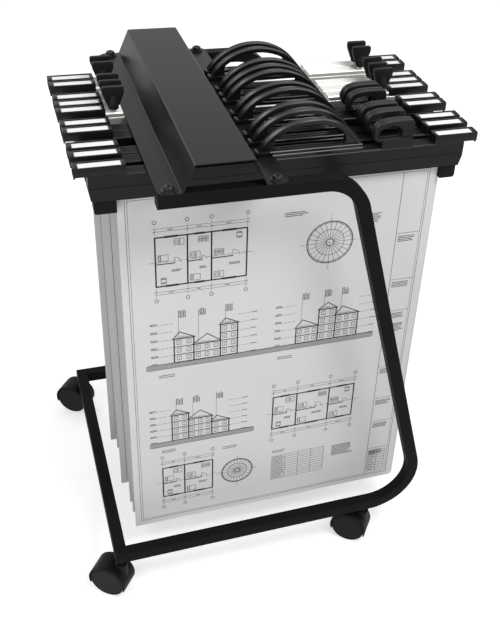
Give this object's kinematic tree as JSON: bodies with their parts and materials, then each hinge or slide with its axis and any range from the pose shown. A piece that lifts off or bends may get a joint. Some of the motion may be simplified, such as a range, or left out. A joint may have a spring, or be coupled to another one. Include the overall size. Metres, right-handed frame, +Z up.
{
  "type": "plan hanging rack",
  "caption": "Plan hanging rack on castors: bent square-tube frames, channel cover, and hooked clamp binders holding large drawing sheets.",
  "frame": {"origin": "middle of the bounding box, at floor level under the castor wheels", "axes": "+Z up; +Y from the front side frame to the rear one, along the cover; +X from the open ends of the arms to the leaning uprights"},
  "size_m": [0.773, 0.6742, 1.009],
  "materials": {
    "black_powder_coat": "satin",
    "grey_powder_coat": "satin",
    "black_steel": "satin",
    "bright_steel": "satin",
    "black_plastic": "matte",
    "black_rubber": "matte",
    "lever_rubber": "matte",
    "black_aluminium": "satin",
    "pale_aluminium": "satin",
    "drawing_paper": "matte"
  },
  "bodies": {
    "base": {"castor_stems": "bright_steel", "front_side_frame": "black_powder_coat", "rear_side_frame": "black_powder_coat", "base_cross_rail": "black_powder_coat", "cover_channel": "grey_powder_coat", "cover_bolts": "black_steel", "tube_end_plugs": "black_plastic"},
    "castor_front_left": {"castor_hood_front_left": "black_plastic"},
    "wheels_front_left": {"castor_wheels_front_left": "black_rubber"},
    "castor_front_right": {"castor_hood_front_right": "black_plastic"},
    "wheels_front_right": {"castor_wheels_front_right": "black_rubber"},
    "castor_rear_left": {"castor_hood_rear_left": "black_plastic"},
    "wheels_rear_left": {"castor_wheels_rear_left": "black_rubber"},
    "castor_rear_right": {"castor_hood_rear_right": "black_plastic"},
    "wheels_rear_right": {"castor_wheels_rear_right": "black_rubber"},
    "binder_01": {"binder_01_spine": "black_aluminium", "binder_01_fittings": "black_plastic", "binder_01_sheets": "drawing_paper"},
    "jaw_01": {"binder_01_jaw": "black_aluminium"},
    "lever_01": {"binder_01_lever": "lever_rubber"},
    "binder_02": {"binder_02_spine": "black_aluminium", "binder_02_fittings": "black_plastic", "binder_02_sheets": "drawing_paper"},
    "jaw_02": {"binder_02_jaw": "black_aluminium"},
    "lever_02": {"binder_02_lever": "lever_rubber"},
    "binder_03": {"binder_03_spine": "black_aluminium", "binder_03_fittings": "black_plastic", "binder_03_sheets": "drawing_paper"},
    "jaw_03": {"binder_03_jaw": "black_aluminium"},
    "lever_03": {"binder_03_lever": "lever_rubber"},
    "binder_04": {"binder_04_spine": "black_aluminium", "binder_04_fittings": "black_plastic", "binder_04_sheets": "drawing_paper"},
    "jaw_04": {"binder_04_jaw": "black_aluminium"},
    "lever_04": {"binder_04_lever": "lever_rubber"},
    "binder_05": {"binder_05_spine": "black_aluminium", "binder_05_fittings": "black_plastic", "binder_05_sheets": "drawing_paper"},
    "jaw_05": {"binder_05_jaw": "black_aluminium"},
    "lever_05": {"binder_05_lever": "lever_rubber"},
    "binder_06": {"binder_06_spine": "pale_aluminium", "binder_06_fittings": "black_plastic", "binder_06_sheets": "drawing_paper"},
    "jaw_06": {"binder_06_jaw": "pale_aluminium"},
    "binder_07": {"binder_07_spine": "pale_aluminium", "binder_07_fittings": "black_plastic", "binder_07_sheets": "drawing_paper"},
    "jaw_07": {"binder_07_jaw": "pale_aluminium"},
    "binder_08": {"binder_08_spine": "pale_aluminium", "binder_08_fittings": "black_plastic", "binder_08_sheets": "drawing_paper"},
    "jaw_08": {"binder_08_jaw": "pale_aluminium"},
    "binder_09": {"binder_09_spine": "pale_aluminium", "binder_09_fittings": "black_plastic", "binder_09_sheets": "drawing_paper"},
    "jaw_09": {"binder_09_jaw": "pale_aluminium"},
    "binder_10": {"binder_10_spine": "pale_aluminium", "binder_10_fittings": "black_plastic", "binder_10_sheets": "drawing_paper"},
    "jaw_10": {"binder_10_jaw": "pale_aluminium"}
  },
  "joints": [
    {"name": "swivel_front_left", "type": "hinge", "parent": "base", "child": "castor_front_left", "pos_m": [-0.32002, -0.30824, 0.056], "axis": [0, 0, 1], "continuous": true},
    {"name": "roll_front_left", "type": "hinge", "parent": "castor_front_left", "child": "wheels_front_left", "pos_m": [-0.33959, -0.2935, 0.0375], "axis": [0.6018, 0.7986, 0], "continuous": true},
    {"name": "swivel_front_right", "type": "hinge", "parent": "base", "child": "castor_front_right", "pos_m": [0.21648, -0.30824, 0.056], "axis": [0, 0, 1], "continuous": true},
    {"name": "roll_front_right", "type": "hinge", "parent": "castor_front_right", "child": "wheels_front_right", "pos_m": [0.19691, -0.2935, 0.0375], "axis": [0.6018, 0.7986, 0], "continuous": true},
    {"name": "swivel_rear_left", "type": "hinge", "parent": "base", "child": "castor_rear_left", "pos_m": [-0.32002, 0.27876, 0.056], "axis": [0, 0, 1], "continuous": true},
    {"name": "roll_rear_left", "type": "hinge", "parent": "castor_rear_left", "child": "wheels_rear_left", "pos_m": [-0.33959, 0.2935, 0.0375], "axis": [0.6018, 0.7986, 0], "continuous": true},
    {"name": "swivel_rear_right", "type": "hinge", "parent": "base", "child": "castor_rear_right", "pos_m": [0.21648, 0.27876, 0.056], "axis": [0, 0, 1], "continuous": true},
    {"name": "roll_rear_right", "type": "hinge", "parent": "castor_rear_right", "child": "wheels_rear_right", "pos_m": [0.19691, 0.2935, 0.0375], "axis": [0.6018, 0.7986, 0], "continuous": true},
    {"name": "slide_01", "type": "slide", "parent": "base", "child": "binder_01", "axis": [0, 1, 0], "range_m": [-0.064, 0.015]},
    {"name": "jaw_hinge_01", "type": "hinge", "parent": "binder_01", "child": "jaw_01", "pos_m": [0.02248, -0.22424, 0.923], "axis": [-1, 0, 0], "range_deg": [0, 5]},
    {"name": "lever_hinge_01", "type": "hinge", "parent": "binder_01", "child": "lever_01", "pos_m": [0.25148, -0.21774, 0.948], "axis": [0, 1, 0], "range_deg": [0, 80]},
    {"name": "slide_02", "type": "slide", "parent": "base", "child": "binder_02", "axis": [0, 1, 0], "range_m": [-0.015, 0.005]},
    {"name": "jaw_hinge_02", "type": "hinge", "parent": "binder_02", "child": "jaw_02", "pos_m": [0.02248, -0.18224, 0.923], "axis": [-1, 0, 0], "range_deg": [0, 5]},
    {"name": "lever_hinge_02", "type": "hinge", "parent": "binder_02", "child": "lever_02", "pos_m": [0.25148, -0.17574, 0.948], "axis": [0, 1, 0], "range_deg": [0, 80]},
    {"name": "slide_03", "type": "slide", "parent": "base", "child": "binder_03", "axis": [0, 1, 0], "range_m": [-0.005, 0.033]},
    {"name": "jaw_hinge_03", "type": "hinge", "parent": "binder_03", "child": "jaw_03", "pos_m": [0.02248, -0.15024, 0.923], "axis": [-1, 0, 0], "range_deg": [0, 5]},
    {"name": "lever_hinge_03", "type": "hinge", "parent": "binder_03", "child": "lever_03", "pos_m": [0.25148, -0.14374, 0.948], "axis": [0, 1, 0], "range_deg": [0, 80]},
    {"name": "slide_04", "type": "slide", "parent": "base", "child": "binder_04", "axis": [0, 1, 0], "range_m": [-0.033, 0.003]},
    {"name": "jaw_hinge_04", "type": "hinge", "parent": "binder_04", "child": "jaw_04", "pos_m": [0.02248, -0.09024, 0.923], "axis": [-1, 0, 0], "range_deg": [0, 5]},
    {"name": "lever_hinge_04", "type": "hinge", "parent": "binder_04", "child": "lever_04", "pos_m": [0.25148, -0.08374, 0.948], "axis": [0, 1, 0], "range_deg": [0, 80]},
    {"name": "slide_05", "type": "slide", "parent": "base", "child": "binder_05", "axis": [0, 1, 0], "range_m": [-0.003, 0.028]},
    {"name": "jaw_hinge_05", "type": "hinge", "parent": "binder_05", "child": "jaw_05", "pos_m": [0.02248, -0.06024, 0.923], "axis": [-1, 0, 0], "range_deg": [0, 5]},
    {"name": "lever_hinge_05", "type": "hinge", "parent": "binder_05", "child": "lever_05", "pos_m": [0.25148, -0.05374, 0.948], "axis": [0, 1, 0], "range_deg": [0, 80]},
    {"name": "slide_06", "type": "slide", "parent": "base", "child": "binder_06", "axis": [0, 1, 0], "range_m": [-0.028, 0.002]},
    {"name": "jaw_hinge_06", "type": "hinge", "parent": "binder_06", "child": "jaw_06", "pos_m": [0.02248, -0.00524, 0.923], "axis": [-1, 0, 0], "range_deg": [0, 5], "stiffness_Nm_per_rad": 2, "springref_deg": -17.19},
    {"name": "slide_07", "type": "slide", "parent": "base", "child": "binder_07", "axis": [0, 1, 0], "range_m": [-0.002, 0.003]},
    {"name": "jaw_hinge_07", "type": "hinge", "parent": "binder_07", "child": "jaw_07", "pos_m": [0.02248, 0.02376, 0.923], "axis": [-1, 0, 0], "range_deg": [0, 5], "stiffness_Nm_per_rad": 2, "springref_deg": -17.19},
    {"name": "slide_08", "type": "slide", "parent": "base", "child": "binder_08", "axis": [0, 1, 0], "range_m": [-0.003, 0.033]},
    {"name": "jaw_hinge_08", "type": "hinge", "parent": "binder_08", "child": "jaw_08", "pos_m": [0.02248, 0.05376, 0.923], "axis": [-1, 0, 0], "range_deg": [0, 5], "stiffness_Nm_per_rad": 2, "springref_deg": -17.19},
    {"name": "slide_09", "type": "slide", "parent": "base", "child": "binder_09", "axis": [0, 1, 0], "range_m": [-0.033, 0.002]},
    {"name": "jaw_hinge_09", "type": "hinge", "parent": "binder_09", "child": "jaw_09", "pos_m": [0.02248, 0.11376, 0.923], "axis": [-1, 0, 0], "range_deg": [0, 5], "stiffness_Nm_per_rad": 2, "springref_deg": -17.19},
    {"name": "slide_10", "type": "slide", "parent": "base", "child": "binder_10", "axis": [0, 1, 0], "range_m": [-0.002, 0.103]},
    {"name": "jaw_hinge_10", "type": "hinge", "parent": "binder_10", "child": "jaw_10", "pos_m": [0.02248, 0.14276, 0.923], "axis": [-1, 0, 0], "range_deg": [0, 5], "stiffness_Nm_per_rad": 2, "springref_deg": -17.19}
  ],
  "couplings": [
    {"joint": "jaw_hinge_01", "follows": "lever_hinge_01", "ratio": 0.0625},
    {"joint": "jaw_hinge_02", "follows": "lever_hinge_02", "ratio": 0.0625},
    {"joint": "jaw_hinge_03", "follows": "lever_hinge_03", "ratio": 0.0625},
    {"joint": "jaw_hinge_04", "follows": "lever_hinge_04", "ratio": 0.0625},
    {"joint": "jaw_hinge_05", "follows": "lever_hinge_05", "ratio": 0.0625}
  ]
}
